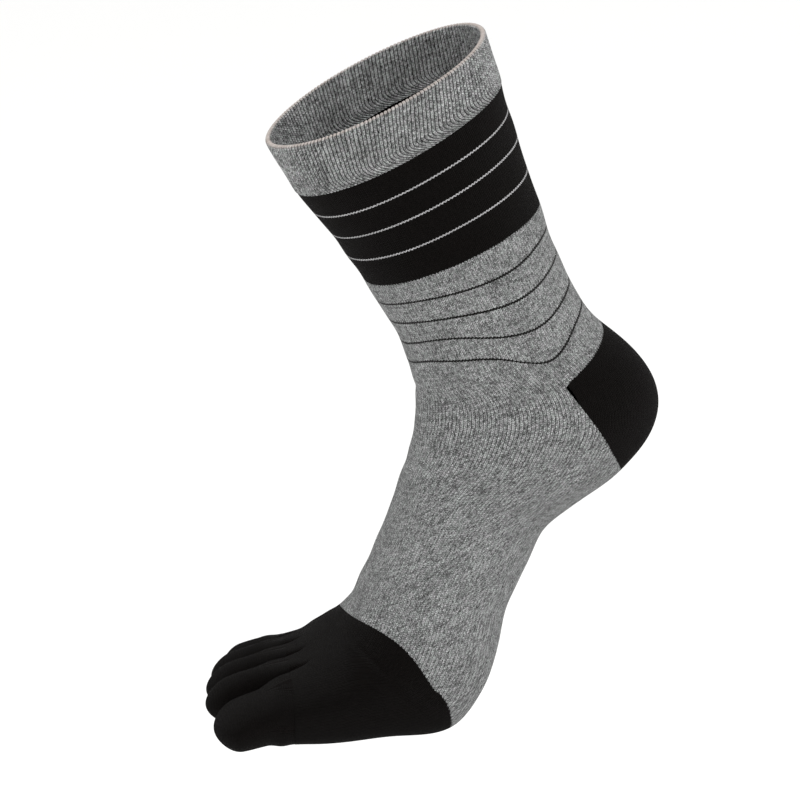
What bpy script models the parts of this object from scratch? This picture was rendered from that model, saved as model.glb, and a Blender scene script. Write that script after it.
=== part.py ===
"""A right-foot toe sock, as it looks when it is worn with the heel raised.

The sock is a knitted tube: a ribbed cuff, a leg band, one long grey body
that runs from the ankle over the arch, a heel pocket let into it, a toe
box, and five closed toe pockets. Every piece is a wall as thick as the
knit and is hollow like the real one.

Metres, +Z up. The toes point along +Y and the inner side of the foot is
at -X. The origin is the centre of the ankle, on the axis of the leg.
"""

import bpy
import numpy as np

# Walls and clearances
WALL = 0.0012
CUFF_WALL = 0.0020
GAP = 0.0003

# Leg, measured from the ankle up the leaning axis of the leg
LEG_LEAN = 22.4
LEG_LENGTH = 0.1188
CUFF_HEIGHT = 0.0180
BAND_HEIGHT = 0.0408
CUFF_DEPTH = 0.0800
CUFF_WIDTH = 0.0650
ANKLE_DEPTH = 0.0610
ANKLE_WIDTH = 0.0520
CUFF_RIBS = 166
RIB_RELIEF = 0.0005

# Heel pocket, whose side points lie HEEL_REACH degrees round from the front;
# the smaller a bend, the sooner that edge leaves the side point
HEEL_DEPTH = 0.0848
HEEL_WIDTH = 0.0530
HEEL_REACH = 97.0
HEEL_TOP_BEND = 0.75
HEEL_UNDER_BEND = 0.45

# Foot, measured from the ankle down the sloping axis of the foot
FOOT_SLOPE = 57.0
FOOT_LENGTH = 0.1048
ARCH_DEPTH = 0.0490
ARCH_WIDTH = 0.0580
BALL_DEPTH = 0.0488
BALL_WIDTH = 0.0740

# Toe box and toes, level along +Y. A toe changes from its cell's outline to
# an oval over SETTLE_SHARE of its length, and its tip is round over TIP_SHARE
TOE_BOX_LENGTH = 0.0362
TOE_ROOT_HEIGHT = 0.0225
BIG_TOE_WIDTH = 0.0240
BIG_TOE_LENGTH = 0.0272
SMALL_TOE_WIDTH = 0.0128
SMALL_TOE_LENGTH = 0.0300
CREASE_SHARE = 0.45
CELL_POWER = 5.0
TOE_POWER = 2.3
SETTLE_SHARE = 0.40
TIP_SHARE = 0.30

# Mesh density: columns round a ring and rows along a piece
FRONT_COLUMNS = 24
BACK_COLUMNS = 20
BAND_ROWS = 4
ANKLE_ROWS = 7
ARCH_ROWS = 11
HEEL_ROWS = 8
BOX_ROWS = 6
TOE_COLUMNS = 16
SMALL_TOE_COLUMNS = 4
TOE_ROWS = 8
COLUMN_CROWDING = 1.5
TIP_CROWDING = 1.6
SHARP_ANGLE = 50.0

GREY_MARL = (0.30, 0.30, 0.31, 1.0)
BLACK_YARN = (0.006, 0.005, 0.007, 1.0)

# Rings of the tube from the rim to the toe roots. A ring's centre lies
# "along" its axis and "rise" across it towards the front or top of the
# foot, and "tilt" turns it in degrees from square. "widest" is where the
# ring is widest, from its back. "round" and "sole" are the powers of the
# superellipses of its front and its back, "fall" is how much its top drops
# towards the little toe, and "slant" is how far its inner side leads
# towards the toes.
RINGS = [
    ("rim", "leg", 1.00 * LEG_LENGTH, 0.0, -0.6,
     1.00 * CUFF_DEPTH, 1.06 * CUFF_WIDTH, 0.50, 2.0, 2.05, 0.00, 0.00),
    ("cuff_hem", "leg", LEG_LENGTH - CUFF_HEIGHT, 0.007 * CUFF_DEPTH, -1.8,
     0.953 * CUFF_DEPTH, 0.99 * CUFF_WIDTH, 0.50, 2.05, 2.1, 0.00, 0.00),
    ("calf", "leg", 0.675 * LEG_LENGTH, 0.002 * CUFF_DEPTH, -0.6,
     0.863 * CUFF_DEPTH, 0.91 * CUFF_WIDTH, 0.50, 2.05, 2.1, 0.00, 0.00),
    ("band_hem", "leg", LEG_LENGTH - CUFF_HEIGHT - BAND_HEIGHT, 0.003 * ANKLE_DEPTH, 2.9,
     1.052 * ANKLE_DEPTH, 1.05 * ANKLE_WIDTH, 0.50, 2.1, 2.1, 0.00, 0.00),
    ("ankle", "leg", 0.345 * LEG_LENGTH, 0.005 * ANKLE_DEPTH, 6.4,
     1.00 * ANKLE_DEPTH, 1.00 * ANKLE_WIDTH, 0.50, 2.1, 2.1, 0.00, 0.00),
    ("ankle_bend", "leg", 0.235 * LEG_LENGTH, 0.001 * ANKLE_DEPTH, 9.0,
     1.008 * ANKLE_DEPTH, 1.00 * ANKLE_WIDTH, 0.50, 2.1, 2.1, 0.00, 0.00),
    ("heel_top", "leg", 0.134 * LEG_LENGTH, -0.009 * ANKLE_DEPTH, 12.8,
     0.789 * HEEL_DEPTH, 0.98 * HEEL_WIDTH, 0.50, 2.1, 2.15, 0.00, 0.00),
    ("heel_side", "foot", -0.057 * FOOT_LENGTH, 0.026 * HEEL_DEPTH, -35.4,
     0.915 * HEEL_DEPTH, 1.00 * HEEL_WIDTH, 0.50, 2.1, 2.2, 0.00, 0.00),
    ("heel_back", "foot", 0.025 * FOOT_LENGTH, -0.081 * HEEL_DEPTH, -26.4,
     1.00 * HEEL_DEPTH, 1.00 * HEEL_WIDTH, 0.49, 2.1, 2.3, 0.00, 0.00),
    ("heel_pad", "foot", 0.120 * FOOT_LENGTH, -0.108 * HEEL_DEPTH, -22.4,
     0.945 * HEEL_DEPTH, 0.99 * HEEL_WIDTH, 0.48, 2.1, 2.4, 0.02, 0.00),
    ("heel_under", "foot", 0.221 * FOOT_LENGTH, -0.103 * HEEL_DEPTH, -20.1,
     0.851 * HEEL_DEPTH, 0.99 * HEEL_WIDTH, 0.48, 2.1, 2.5, 0.04, 0.00),
    ("arch_back", "foot", 0.336 * FOOT_LENGTH, -0.099 * ARCH_DEPTH, -17.5,
     1.202 * ARCH_DEPTH, 0.94 * ARCH_WIDTH, 0.48, 2.1, 2.6, 0.06, 0.00),
    ("arch_middle", "foot", 0.435 * FOOT_LENGTH, -0.062 * ARCH_DEPTH, -16.0,
     1.039 * ARCH_DEPTH, 0.97 * ARCH_WIDTH, 0.47, 2.1, 2.6, 0.08, -0.02),
    ("arch", "foot", 0.547 * FOOT_LENGTH, -0.080 * ARCH_DEPTH, -12.0,
     1.00 * ARCH_DEPTH, 1.00 * ARCH_WIDTH, 0.46, 2.1, 2.6, 0.11, -0.04),
    ("instep", "foot", 0.682 * FOOT_LENGTH, -0.100 * BALL_DEPTH, -9.0,
     0.967 * BALL_DEPTH, 0.85 * BALL_WIDTH, 0.45, 2.1, 2.7, 0.15, -0.07),
    ("ball_back", "foot", 0.807 * FOOT_LENGTH, -0.139 * BALL_DEPTH, -2.1,
     1.005 * BALL_DEPTH, 0.92 * BALL_WIDTH, 0.44, 2.15, 3.2, 0.18, -0.09),
    ("ball", "foot", 0.895 * FOOT_LENGTH, -0.152 * BALL_DEPTH, 3.4,
     1.00 * BALL_DEPTH, 0.97 * BALL_WIDTH, 0.43, 2.2, 3.7, 0.21, -0.11),
    ("toe_line", "foot", 1.00 * FOOT_LENGTH, -0.097 * BALL_DEPTH, 15.5,
     0.984 * BALL_DEPTH, 1.00 * BALL_WIDTH, 0.43, 2.3, 4.2, 0.24, -0.12),
    ("toe_bend", "toe", 0.381 * TOE_BOX_LENGTH, -0.102 * TOE_ROOT_HEIGHT, -22.8,
     1.555 * TOE_ROOT_HEIGHT, 1.00 * BALL_WIDTH, 0.44, 2.4, 4.2, 0.26, -0.04),
    ("toe_flat", "toe", 0.725 * TOE_BOX_LENGTH, -0.196 * TOE_ROOT_HEIGHT, -7.0,
     1.165 * TOE_ROOT_HEIGHT, 1.01 * BALL_WIDTH, 0.46, 2.5, 3.8, 0.36, 0.08),
    ("toe_roots", "toe", 1.00 * TOE_BOX_LENGTH, -0.211 * TOE_ROOT_HEIGHT, 0.0,
     1.00 * TOE_ROOT_HEIGHT, None, 0.48, 2.6, 3.4, 0.44, 0.15),
]

# The line between the body and the toe box: the angle from the front, less
# than nothing on the inner side, and how far the line runs on towards the toes
TOE_LINE = [
    (-180.0, 0.070 * BALL_DEPTH),
    (-115.0, 0.072 * BALL_DEPTH),
    (-89.0, -0.016 * BALL_DEPTH),
    (-68.0, -0.130 * BALL_DEPTH),
    (-44.0, -0.168 * BALL_DEPTH),
    (0.0, -0.060 * BALL_DEPTH),
    (60.0, -0.030 * BALL_DEPTH),
    (115.0, 0.050 * BALL_DEPTH),
    (180.0, 0.070 * BALL_DEPTH),
]

# Toes from the inner side: width and length
TOES = [
    ("big_toe", BIG_TOE_WIDTH, BIG_TOE_LENGTH),
    ("second_toe", 1.05 * SMALL_TOE_WIDTH, 0.98 * SMALL_TOE_LENGTH),
    ("third_toe", 1.00 * SMALL_TOE_WIDTH, 0.96 * SMALL_TOE_LENGTH),
    ("fourth_toe", 0.98 * SMALL_TOE_WIDTH, 0.89 * SMALL_TOE_LENGTH),
    ("little_toe", 1.01 * SMALL_TOE_WIDTH, 0.72 * SMALL_TOE_LENGTH),
]
ROOT_WIDTH = sum(width for name, width, length in TOES)

# A toe's side view, as shares of its length and of the height at its root:
# how far along, how far its top has dropped, how far its sole has risen,
# and its width as a share of its root's
BIG_TOE_FORM = [
    (0.00, 0.00, 0.00, 1.00),
    (0.30, 0.10, 0.07, 0.97),
    (0.60, 0.19, 0.05, 0.98),
    (0.85, 0.30, 0.06, 0.96),
    (1.00, 0.36, 0.11, 0.92),
]
SMALL_TOE_FORM = [
    (0.00, 0.00, 0.00, 1.00),
    (0.30, 0.05, 0.09, 0.95),
    (0.60, 0.11, 0.12, 0.95),
    (0.85, 0.20, 0.16, 0.96),
    (1.00, 0.26, 0.20, 0.92),
]


def natural_spline(knots, values, at):
    """Cubic curves through the values at the knots, joined with equal slope and bend."""
    knots = np.asarray(knots, float)
    values = np.asarray(values, float)
    at = np.asarray(at, float)
    step = np.diff(knots)
    slope = np.diff(values, axis=0) / step[:, None]
    system = np.eye(len(knots))
    change = np.zeros_like(values)
    for i in range(1, len(knots) - 1):
        system[i, i - 1:i + 2] = (step[i - 1], 2 * (step[i - 1] + step[i]), step[i])
        change[i] = 6 * (slope[i] - slope[i - 1])
    bend = np.linalg.solve(system, change)
    cell = np.clip(np.searchsorted(knots, at, side="right") - 1, 0, len(knots) - 2)
    t = (at - knots[cell])[..., None]
    width = step[cell][..., None]
    start = slope[cell] - width * (2 * bend[cell] + bend[cell + 1]) / 6
    return (values[cell] + t * start + t ** 2 * bend[cell] / 2
            + t ** 3 * (bend[cell + 1] - bend[cell]) / (6 * width))


def signed_power(value, power):
    """The power of a value's size, with the value's sign."""
    return np.sign(value) * np.abs(value) ** power


def ring_axes():
    """For each axis: its start, its direction, the direction across it, and that one's angle."""
    lean = np.radians(LEG_LEAN)
    slope = np.radians(FOOT_SLOPE)
    leg_up = np.array([np.sin(lean), np.cos(lean)])
    leg_front = np.array([np.cos(lean), -np.sin(lean)])
    foot_down = np.array([np.cos(slope), -np.sin(slope)])
    foot_top = np.array([np.sin(slope), np.cos(slope)])
    ankle = np.zeros(2)
    toe_line = next(ring for ring in RINGS if ring[0] == "toe_line")
    box_start = foot_down * toe_line[2] + foot_top * toe_line[3]
    return {
        "leg": (ankle, leg_up, leg_front, -LEG_LEAN),
        "foot": (ankle, foot_down, foot_top, 90 - FOOT_SLOPE),
        "toe": (box_start, np.array([1.0, 0.0]), np.array([0.0, 1.0]), 90.0),
    }


def ring_table():
    """One row of numbers a ring: its front and back points, then its form."""
    axes = ring_axes()
    rows = []
    for name, axis, along, rise, tilt, depth, width, widest, top, sole, fall, slant in RINGS:
        start, forward, across, angle = axes[axis]
        centre = start + forward * along + across * rise
        turned = np.radians(angle + tilt)
        half = depth / 2 * np.array([np.cos(turned), np.sin(turned)])
        rows.append([*(centre + half), *(centre - half), width or ROOT_WIDTH,
                     widest, top, sole, fall, slant])
    return np.array(rows)


TABLE = ring_table()
WIDTH, WIDEST, ROUND, SOLE, FALL, SLANT = range(4, 10)


def ring_stations():
    """Where each ring lies along the tube: the mean of the way down its front and its back."""
    step = np.diff(TABLE[:, :4], axis=0)
    front = np.hypot(step[:, 0], step[:, 1])
    back = np.hypot(step[:, 2], step[:, 3])
    return np.concatenate([[0.0], np.cumsum((front + back) / 2)])


STATIONS = ring_stations()


def station(name):
    """The place along the tube of the ring with this name."""
    return STATIONS[[ring[0] for ring in RINGS].index(name)]


def cell_edges():
    """The x of the lines between the toes, from the inner side to the outer."""
    widths = np.array([width for name, width, length in TOES])
    return np.concatenate([[0.0], np.cumsum(widths)]) - ROOT_WIDTH / 2


def cell_lobe(x):
    """How far a toe's round top keeps the full height across its cell, down to the crease."""
    edges = cell_edges()
    cell = np.clip(np.searchsorted(edges, x) - 1, 0, len(TOES) - 1)
    half = (edges[cell + 1] - edges[cell]) / 2
    across = np.clip((x - edges[cell]) / half - 1, -1, 1)
    outside = ((cell == 0) & (across < 0)) | ((cell == len(TOES) - 1) & (across > 0))
    lobe = (1 - np.abs(across) ** CELL_POWER) ** (1 / CELL_POWER)
    return np.where(outside, 1.0, np.maximum(lobe, 1 - CREASE_SHARE))


def tube_point(place, turn, lobed=True):
    """The outer surface: a superellipse ring at a place, at an angle from the front.

    The ring's front half and back half have their own depths. A slant moves
    the ring's inner side on towards the toes, along the surface. Near the
    toe roots the top and the sole dip at each line between two toes.
    """
    square = natural_spline(STATIONS, TABLE, place)
    power = np.where(np.cos(turn) > 0, square[..., ROUND], square[..., SOLE])
    wide = signed_power(np.sin(turn), 2 / power)
    deep = signed_power(np.cos(turn), 2 / power)
    slanted = place - square[..., SLANT] * square[..., WIDTH] / 2 * wide
    row = natural_spline(STATIONS, TABLE, slanted)
    front, back = row[..., 0:2], row[..., 2:4]
    depth = np.linalg.norm(front - back, axis=-1)
    across = (front - back) / depth[..., None]
    x = row[..., WIDTH] / 2 * wide
    widest = row[..., WIDEST]
    top_share = (1 - widest) * (1 - row[..., FALL] * np.sin(turn))
    reach = np.where(deep > 0, top_share, widest) * depth * deep
    if lobed:
        start, end = station("toe_flat"), station("toe_roots")
        creased = np.clip((place - start) / (end - start), 0, 1) ** 2
        reach = reach * (1 - creased * (1 - cell_lobe(x)))
    side = back + (widest * depth + reach)[..., None] * across
    return np.concatenate([x[..., None], side], axis=-1)


def tube_frame(place, turn):
    """The surface point, its outward normal and its stretch along the tube."""
    step = 1e-5
    point = tube_point(place, turn)
    along = (tube_point(place + step, turn) - tube_point(place - step, turn)) / (2 * step)
    around = (tube_point(place, turn + step) - tube_point(place, turn - step)) / (2 * step)
    normal = np.cross(around, along)
    normal /= np.linalg.norm(normal, axis=-1, keepdims=True)
    return point, normal, np.linalg.norm(along, axis=-1)


def grid_faces(ids, closed):
    """Four-sided faces over a grid of point numbers, rows along and columns around."""
    right = np.roll(ids, -1, axis=1)
    if not closed:
        ids, right = ids[:, :-1], right[:, :-1]
    quads = np.stack([ids[:-1], right[:-1], right[1:], ids[1:]], axis=-1)
    return [list(map(int, quad)) for quad in quads.reshape(-1, 4)]


def make_wall(name, outer, inner, faces, colour):
    """A closed wall: the outer faces, the inner ones turned round, and the edges between."""
    count = len(outer)
    taken = set()
    for face in faces:
        taken.update(zip(face, face[1:] + face[:1]))
    rims = [[b, a, a + count, b + count] for a, b in taken if (b, a) not in taken]
    inside = [[point + count for point in reversed(face)] for face in faces]
    mesh = bpy.data.meshes.new(name)
    points = np.concatenate([outer, inner])
    mesh.from_pydata(points.tolist(), [], faces + inside + sorted(rims))
    mesh.validate()
    mesh.shade_smooth()
    mesh.set_sharp_from_angle(angle=np.radians(SHARP_ANGLE))
    mesh.materials.append(colour)
    obj = bpy.data.objects.new(name, mesh)
    bpy.context.scene.collection.objects.link(obj)
    return obj


def make_material(name, colour, roughness):
    """A plain knitted-yarn material."""
    material = bpy.data.materials.new(name)
    material.use_nodes = True
    shader = material.node_tree.nodes["Principled BSDF"]
    shader.inputs["Base Color"].default_value = colour
    shader.inputs["Roughness"].default_value = roughness
    shader.inputs["Metallic"].default_value = 0.0
    return material


def crowded(count, closed):
    """Evenly numbered shares from -1 to 1 that lie closer together towards both ends."""
    even = np.linspace(-1, 1, count, endpoint=closed)
    return np.sign(even) * (1 - (1 - np.abs(even)) ** COLUMN_CROWDING)


def ring_turns():
    """The angles of a ring's columns, closer together beside the heel pocket's side points."""
    reach = np.radians(HEEL_REACH)
    front = np.linspace(-reach, reach, FRONT_COLUMNS, endpoint=False)
    back = np.pi + (np.pi - reach) * crowded(BACK_COLUMNS, False)
    return np.concatenate([front, back])


def make_tube(name, start, end, turns, end_turns, rows, wall, colour, relief=0.0):
    """A length of the tube between two places, half a gap short at both ends.

    The columns run from the angles at its start to the angles at its end.
    """
    start = start + 0 * turns
    end = end + 0 * turns
    first = start + GAP / 2 / tube_frame(start, turns)[2]
    last = end - GAP / 2 / tube_frame(end, end_turns)[2]
    share = np.linspace(0, 1, rows + 1)[:, None]
    place = first + (last - first) * share
    turn = turns + (end_turns - turns) * share
    point, normal, stretch = tube_frame(place, turn)
    relief = np.broadcast_to(relief, turn.shape)[..., None]
    outer = (point + normal * relief).reshape(-1, 3)
    inner = (point + normal * (relief - wall)).reshape(-1, 3)
    faces = grid_faces(np.arange(len(outer)).reshape(rows + 1, -1), True)
    return make_wall(name, outer, inner, faces, colour)


def make_cuff(colour):
    """The cuff: a doubled band with a fine rib all round."""
    turns = np.linspace(0, 2 * np.pi, 2 * CUFF_RIBS, endpoint=False)
    relief = np.where(np.arange(2 * CUFF_RIBS) % 2 == 0, RIB_RELIEF / 2, -RIB_RELIEF / 2)
    return make_tube("cuff", station("rim"), station("cuff_hem"), turns, turns,
                     1, CUFF_WALL, colour, relief)


def make_leg_band(colour):
    """The dark band below the cuff."""
    turns = ring_turns()
    return make_tube("leg_band", station("cuff_hem"), station("band_hem"), turns, turns,
                     BAND_ROWS, WALL, colour)


def heel_edges(turn):
    """The places of the heel pocket's upper and lower edge at an angle from the front.

    Both start from one point at the side, where the pocket's seam ends, and
    level out at the back. The lower edge drops away from that point at once.
    """
    reach = np.radians(HEEL_REACH)
    apex = station("heel_side")
    rise = np.sin(np.clip((np.abs(turn) - reach) / (np.pi - reach), 0, 1) * np.pi / 2)
    upper = apex + (station("heel_top") - apex) * rise ** HEEL_TOP_BEND
    lower = apex + (station("heel_under") - apex) * rise ** HEEL_UNDER_BEND
    return upper, lower


def toe_line(turn):
    """The place of the line between the body and the toe box at an angle from the front."""
    knots = np.array(TOE_LINE)
    shift = natural_spline(knots[:, 0], knots[:, 1:], np.degrees(back_turn(turn)))
    return station("toe_line") + shift[..., 0]


def back_turn(turn):
    """An angle from the front between minus and plus half a turn."""
    return (turn + np.pi) % (2 * np.pi) - np.pi


def make_body(colour):
    """The grey body: ankle and foot in one, with an opening where the heel pocket sits."""
    turns = ring_turns()
    columns = len(turns)
    upper, lower = heel_edges(back_turn(turns))
    hem = station("band_hem")
    top = hem + GAP / 2 / tube_frame(hem + 0 * turns, turns)[2]
    bottom = toe_line(turns) - GAP / 2 / tube_frame(toe_line(turns), turns)[2]
    ankle_share = np.linspace(0, 1, ANKLE_ROWS + 1)[:, None]
    foot_share = np.linspace(0, 1, ARCH_ROWS + 1)[:, None]
    ankle = top + (upper - top) * ankle_share
    foot = lower + (bottom - lower) * foot_share
    place = np.concatenate([ankle, foot])
    ids = np.arange(place.size).reshape(place.shape)
    joined = np.isclose(upper, lower)
    ids[ANKLE_ROWS + 1, joined] = ids[ANKLE_ROWS, joined]
    kept, ids_kept = np.unique(ids, return_inverse=True)
    ids_kept = ids_kept.reshape(ids.shape)
    point, normal, stretch = tube_frame(place, turns + 0 * place)
    outer = point.reshape(-1, 3)[kept]
    inner = (point - normal * WALL).reshape(-1, 3)[kept]
    faces = grid_faces(ids_kept[:ANKLE_ROWS + 1], True) + grid_faces(ids_kept[ANKLE_ROWS + 1:], True)
    return make_wall("body", outer, inner, faces, colour)


def make_heel(colour):
    """The heel pocket: a lens let into the body's opening, a gap smaller all round."""
    reach = np.radians(HEEL_REACH)
    fine = np.linspace(reach, np.pi, 400)
    upper, lower = heel_edges(fine)
    stretch = tube_frame((upper + lower) / 2, fine)[2]
    blunt = fine[np.argmax((lower - upper) * stretch > 2 * GAP + WALL)]
    turns = np.pi + (np.pi - blunt) * crowded(BACK_COLUMNS + 1, True)
    upper, lower = heel_edges(back_turn(turns))
    first = upper + GAP / tube_frame(upper, turns)[2]
    last = lower - GAP / tube_frame(lower, turns)[2]
    share = np.linspace(0, 1, HEEL_ROWS + 1)[:, None]
    place = first + (last - first) * share
    point, normal, stretch = tube_frame(place, turns + 0 * place)
    outer = point.reshape(-1, 3)
    inner = (point - normal * WALL).reshape(-1, 3)
    faces = grid_faces(np.arange(len(outer)).reshape(HEEL_ROWS + 1, -1), False)
    return make_wall("heel", outer, inner, faces, colour)


def root_turns():
    """The angles of the columns at the toe roots, closer together at each line between toes.

    There are as many as in ring_turns, so the toe box can run from those to these.
    """
    edges = cell_edges()
    across_all = (FRONT_COLUMNS + BACK_COLUMNS) // 2
    counts = [SMALL_TOE_COLUMNS] * len(TOES)
    counts[0] = across_all - sum(counts[1:])
    across = np.concatenate([
        (edges[i] + edges[i + 1]) / 2
        + (edges[i + 1] - edges[i]) / 2 * np.sin(np.linspace(-np.pi / 2, np.pi / 2, count + 1))[:-1]
        for i, count in enumerate(counts)])
    share = np.clip(across[1:] / (ROOT_WIDTH / 2), -1, 1)
    top = np.arcsin(signed_power(share, TABLE[-1, ROUND] / 2))
    sole = np.pi - np.arcsin(signed_power(share[::-1], TABLE[-1, SOLE] / 2))
    return np.concatenate([[-np.pi / 2], top, [np.pi / 2], sole])


def make_toe_box(colour):
    """The toe box: from the grey body to the toe roots, where its rim is lobed."""
    turns = ring_turns()
    return make_tube("toe_box", toe_line(turns), station("toe_roots"), turns, root_turns(),
                     BOX_ROWS, WALL, colour)


def root_outline(x):
    """The toe box's rim at x: its top point, the height of its middle and its sole point."""
    share = np.clip(x / (ROOT_WIDTH / 2), -1, 1)
    end = station("toe_roots") + 0 * share
    top_turn = np.arcsin(signed_power(share, TABLE[-1, ROUND] / 2))
    sole_turn = np.pi - np.arcsin(signed_power(share, TABLE[-1, SOLE] / 2))
    top = tube_point(end, top_turn, lobed=False)
    sole = tube_point(end, sole_turn, lobed=False)
    middle = TABLE[-1, 3] + TABLE[-1, WIDEST] * (TABLE[-1, 1] - TABLE[-1, 3])
    return top, middle, sole


def toe_point(index, along, turn):
    """A toe pocket: its root has the outline of its cell, its tip is a round cap.

    Along runs from 0 at the root to 1 at the tip. The ring is a superellipse
    that changes from the cell's square one to an oval.
    """
    name, width, length = TOES[index]
    form = np.array(BIG_TOE_FORM if index == 0 else SMALL_TOE_FORM)
    edges = cell_edges()
    x_middle = (edges[index] + edges[index + 1]) / 2
    half = width / 2 - GAP / 2
    top_share, sole_share, width_share = (
        natural_spline(form[:, 0], form[:, 1:], along)[..., i] for i in range(3))
    settle = np.clip(along / SETTLE_SHARE, 0, 1)
    settle = settle * settle * (3 - 2 * settle)
    power = CELL_POWER + (TOE_POWER - CELL_POWER) * settle
    deep = signed_power(np.cos(turn), 2 / power)
    wide = signed_power(np.sin(turn), 2 / power)
    side = {0: -1, len(TOES) - 1: 1}.get(index, 0)
    free = (wide * side > 0) * (1 - settle)
    cell_deep = deep * (1 - free) + np.sign(np.round(np.cos(turn), 9)) * free

    cell_x = x_middle + half * wide
    top, middle, sole = root_outline(cell_x)
    above, below = top[..., 2] - middle, middle - sole[..., 2]
    cell_z = middle + np.where(cell_deep > 0, above, below) * cell_deep
    level = (cell_z - sole[..., 2]) / (above + below)
    cell_y = sole[..., 1] + (top[..., 1] - sole[..., 1]) * level

    centre_top, centre_middle, centre_sole = root_outline(x_middle)
    height = centre_top[2] - centre_sole[2]
    own_top = centre_top[2] - top_share * height
    own_sole = centre_sole[2] + sole_share * height
    own_y = (centre_top[1] + centre_sole[1]) / 2
    cap = np.sqrt(np.clip(1 - (np.clip(along - 1 + TIP_SHARE, 0, 1) / TIP_SHARE) ** 2, 0, 1))
    own_x = x_middle + half * width_share * wide * cap
    own_z = (own_top + own_sole) / 2 + (own_top - own_sole) / 2 * deep * cap

    x = cell_x + (own_x - cell_x) * settle
    z = cell_z + (own_z - cell_z) * settle
    y = GAP / 2 + cell_y + (own_y - cell_y) * settle + along * length
    return np.stack([x, y + 0 * x, z], axis=-1)


def make_toe(index, colour):
    """A closed toe pocket, open at its root."""
    even = np.linspace(0, 1, TOE_ROWS + 1)[:-1]
    along = 1 - (1 - even) ** TIP_CROWDING
    turns = np.linspace(0, 2 * np.pi, TOE_COLUMNS, endpoint=False)
    along_grid, turn_grid = np.meshgrid(along, turns, indexing="ij")
    step = 1e-4
    point = toe_point(index, along_grid, turn_grid)
    onward = toe_point(index, along_grid + step, turn_grid) - toe_point(index, along_grid - step, turn_grid)
    around = toe_point(index, along_grid, turn_grid + step) - toe_point(index, along_grid, turn_grid - step)
    normal = np.cross(around, onward)
    normal /= np.linalg.norm(normal, axis=-1, keepdims=True)
    tip = toe_point(index, np.array([1.0]), np.array([0.0]))
    outer = np.concatenate([point.reshape(-1, 3), tip])
    inner = np.concatenate([(point - normal * WALL).reshape(-1, 3), tip - [[0.0, WALL, 0.0]]])
    ids = np.arange(point.shape[0] * TOE_COLUMNS).reshape(-1, TOE_COLUMNS)
    faces = grid_faces(ids, True)
    pole = len(outer) - 1
    last = ids[-1]
    faces += [[int(a), int(b), pole] for a, b in zip(last, np.roll(last, -1))]
    return make_wall(TOES[index][0], outer, inner, faces, colour)


def main():
    for obj in list(bpy.data.objects):
        bpy.data.objects.remove(obj, do_unlink=True)
    grey = make_material("grey_marl", GREY_MARL, 0.9)
    black = make_material("black_yarn", BLACK_YARN, 0.85)
    make_cuff(grey)
    make_leg_band(black)
    make_body(grey)
    make_heel(black)
    make_toe_box(black)
    for index in range(len(TOES)):
        make_toe(index, black)


main()
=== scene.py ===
# %% [markdown]
# A striped toe sock.
# The sock is one knitted tube that closes into a pocket for each toe. Its solid
# model is already there, so this lesson gives it its knit: the real surface at
# the size of a stitch, the ribbed cuff, the thin stripes, and the two yarns.
# Everything is a surface worked out with numpy and then put into a mesh.

import bpy
import numpy as np
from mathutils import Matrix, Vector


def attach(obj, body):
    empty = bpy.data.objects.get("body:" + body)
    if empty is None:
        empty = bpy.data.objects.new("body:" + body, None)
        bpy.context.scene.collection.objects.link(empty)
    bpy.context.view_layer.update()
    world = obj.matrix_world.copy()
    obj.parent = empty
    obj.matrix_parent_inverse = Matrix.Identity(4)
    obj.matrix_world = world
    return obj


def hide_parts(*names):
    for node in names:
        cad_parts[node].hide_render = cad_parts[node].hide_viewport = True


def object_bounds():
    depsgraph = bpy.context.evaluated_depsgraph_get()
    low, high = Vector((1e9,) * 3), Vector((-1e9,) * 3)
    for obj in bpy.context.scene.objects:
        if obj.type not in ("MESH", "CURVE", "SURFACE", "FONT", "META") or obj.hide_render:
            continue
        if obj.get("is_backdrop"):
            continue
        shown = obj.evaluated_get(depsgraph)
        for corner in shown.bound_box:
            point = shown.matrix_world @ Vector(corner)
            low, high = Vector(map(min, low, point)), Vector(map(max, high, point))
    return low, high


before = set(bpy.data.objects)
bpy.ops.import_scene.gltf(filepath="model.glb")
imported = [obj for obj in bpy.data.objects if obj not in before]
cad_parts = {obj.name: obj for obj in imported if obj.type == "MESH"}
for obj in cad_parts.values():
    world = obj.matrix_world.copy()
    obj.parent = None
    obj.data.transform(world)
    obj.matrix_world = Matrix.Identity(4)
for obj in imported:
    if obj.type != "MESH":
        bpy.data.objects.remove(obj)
cad_box = [[float(value) for value in corner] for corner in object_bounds()]
print("nodes to dress:", sorted(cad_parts))

# %% [markdown]
# The camera comes first, because it decides how fine the knit has to be. It is a
# long lens from the inner side of the foot, a little from the front and above.
# A camera can be aimed with a constraint, but three directions worked out from
# its place and its aim are just as short, and the roll can be added to them.

# %% The camera
CAMERA_PLACE = np.array([-0.8801, 0.2450, 0.2961])
CAMERA_AIM = np.array([0.0, 0.0436, 0.0013])
CAMERA_ROLL = np.radians(-3.66)
CAMERA_LENS = 126.5


def aim_camera(place, aim, roll, lens):
    """A camera whose back axis runs from aim to place, turned by roll about that axis."""
    back = (place - aim) / np.linalg.norm(place - aim)
    right = np.cross([0.0, 0.0, 1.0], back)
    right /= np.linalg.norm(right)
    up = np.cross(back, right)
    rolled_right = right * np.cos(roll) + up * np.sin(roll)
    rolled_up = up * np.cos(roll) - right * np.sin(roll)
    matrix = np.eye(4)
    matrix[:3, 0] = rolled_right
    matrix[:3, 1] = rolled_up
    matrix[:3, 2] = back
    matrix[:3, 3] = place
    data = bpy.data.cameras.new("camera")
    data.lens = lens
    data.sensor_width = 36.0
    data.clip_start = 0.01
    camera = bpy.data.objects.new("camera", data)
    camera.matrix_world = matrix.T.tolist()
    bpy.context.scene.collection.objects.link(camera)
    bpy.context.scene.camera = camera
    return camera


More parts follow.
